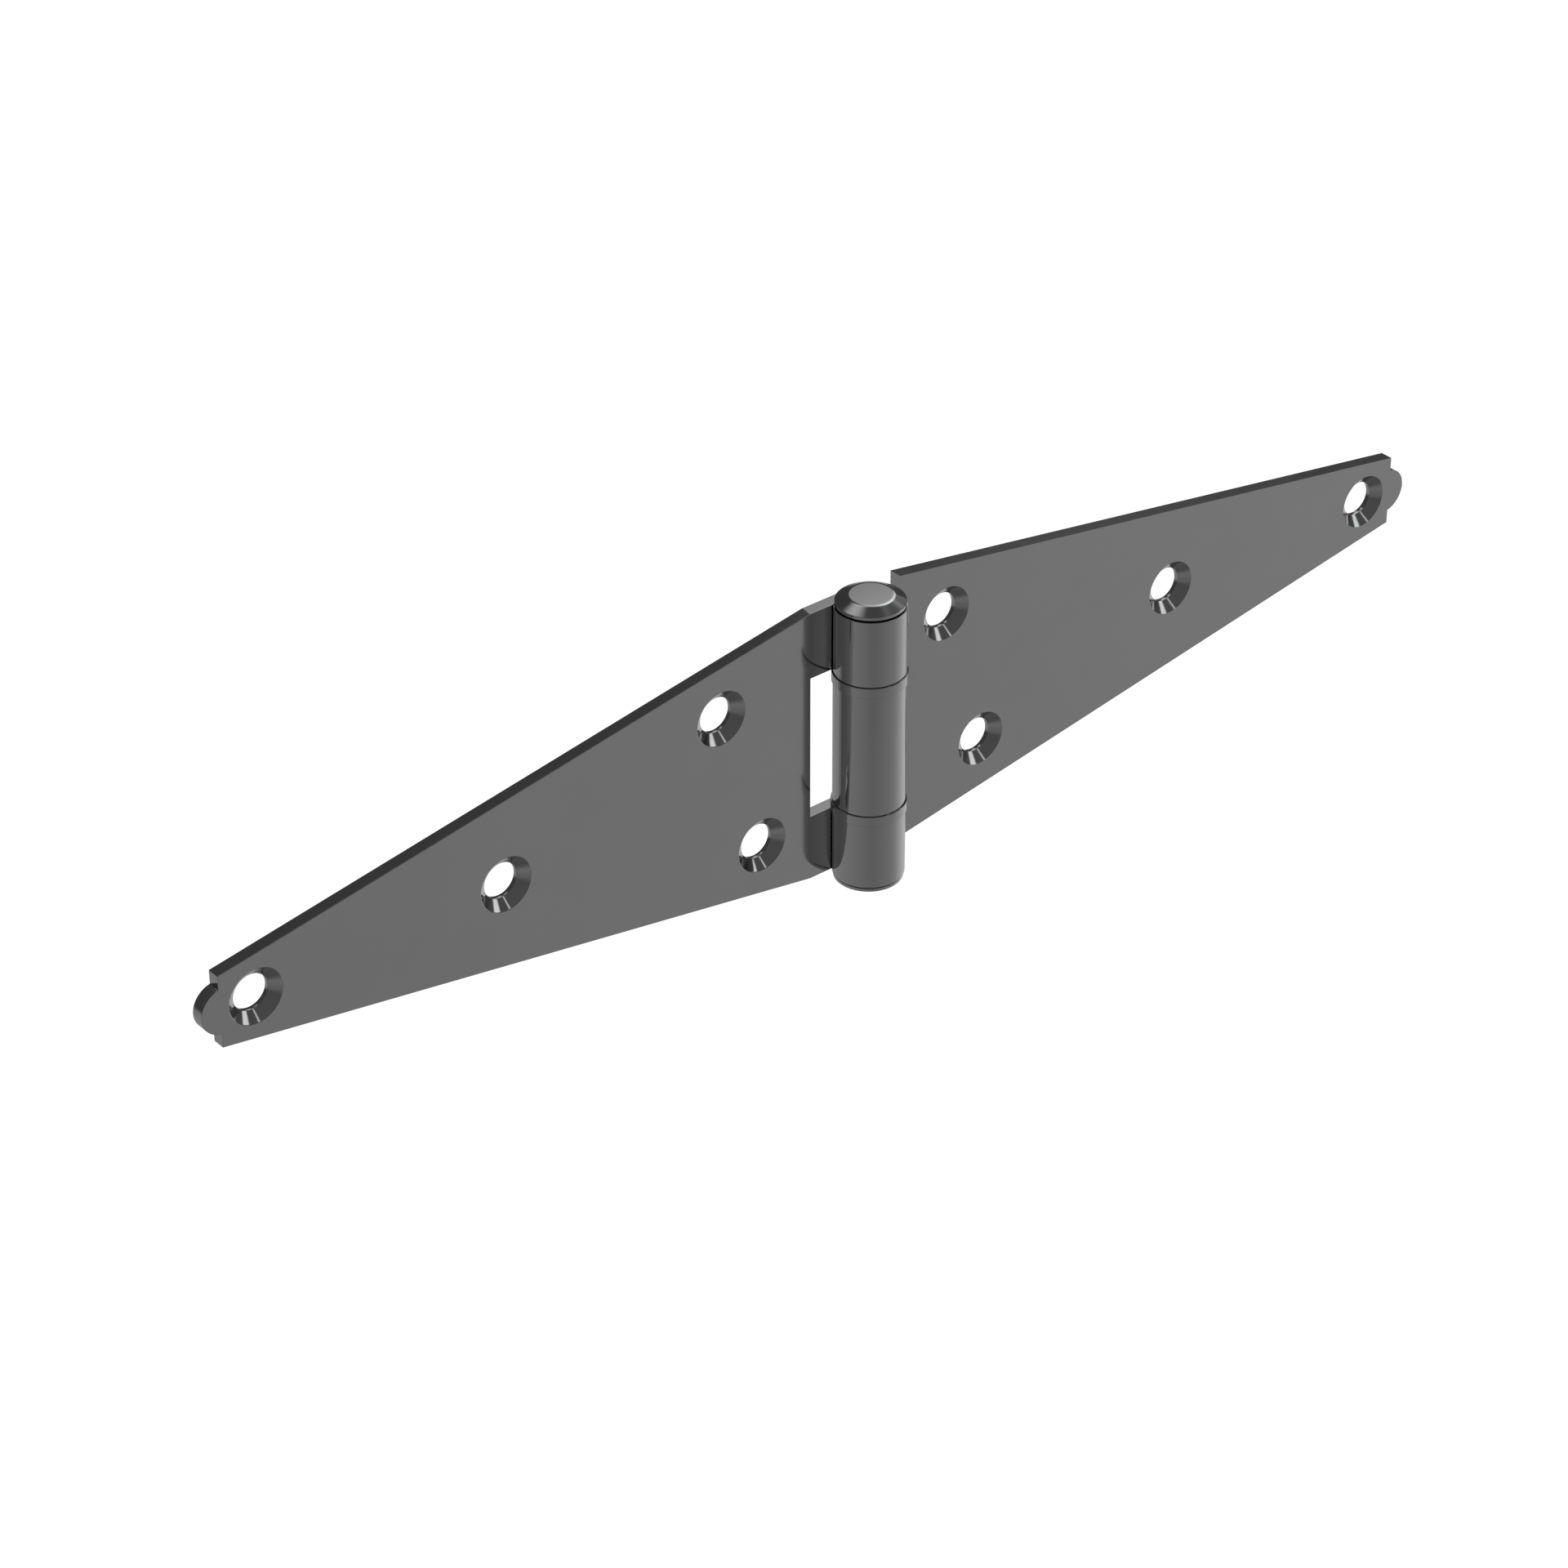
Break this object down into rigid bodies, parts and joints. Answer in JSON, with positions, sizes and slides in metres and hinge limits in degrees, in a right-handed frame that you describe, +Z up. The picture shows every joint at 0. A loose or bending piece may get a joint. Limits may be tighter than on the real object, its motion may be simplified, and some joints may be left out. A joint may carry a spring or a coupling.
{
  "type": "strap hinge",
  "caption": "Polished steel strap hinge: tapered, countersunk leaves rolled round a headed pin, swinging between thrust rings.",
  "frame": {"origin": "middle of the hinge pin's axis, in the middle of the barrel", "axes": "+X along the right leaf, away from the pin; +Y out of the leaves' flat mounting faces; +Z up the pin"},
  "size_m": [0.3266, 0.0162, 0.07],
  "materials": {
    "leaf_steel": "polished",
    "pin_steel": "polished",
    "collar_steel": "polished",
    "ring_steel": "polished"
  },
  "bodies": {
    "left_leaf": {"left_leaf": "leaf_steel"},
    "right_leaf": {"right_leaf": "leaf_steel"},
    "pin": {"hinge_pin": "pin_steel", "lower_pin_collar": "collar_steel"},
    "upper_ring": {"upper_thrust_ring": "ring_steel"},
    "lower_ring": {"lower_thrust_ring": "ring_steel"}
  },
  "joints": [
    {"name": "leaf_swing", "type": "hinge", "parent": "left_leaf", "child": "right_leaf", "pos_m": [0, 0, 0], "axis": [0, 0, 1], "range_deg": [-180, 110]},
    {"name": "pin_spin", "type": "hinge", "parent": "left_leaf", "child": "pin", "pos_m": [0, 0, 0], "axis": [0, 0, 1], "continuous": true},
    {"name": "upper_ring_spin", "type": "hinge", "parent": "left_leaf", "child": "upper_ring", "pos_m": [0, 0, 0.01575], "axis": [0, 0, 1], "continuous": true},
    {"name": "lower_ring_spin", "type": "hinge", "parent": "left_leaf", "child": "lower_ring", "pos_m": [0, 0, -0.01575], "axis": [0, 0, 1], "continuous": true}
  ]
}
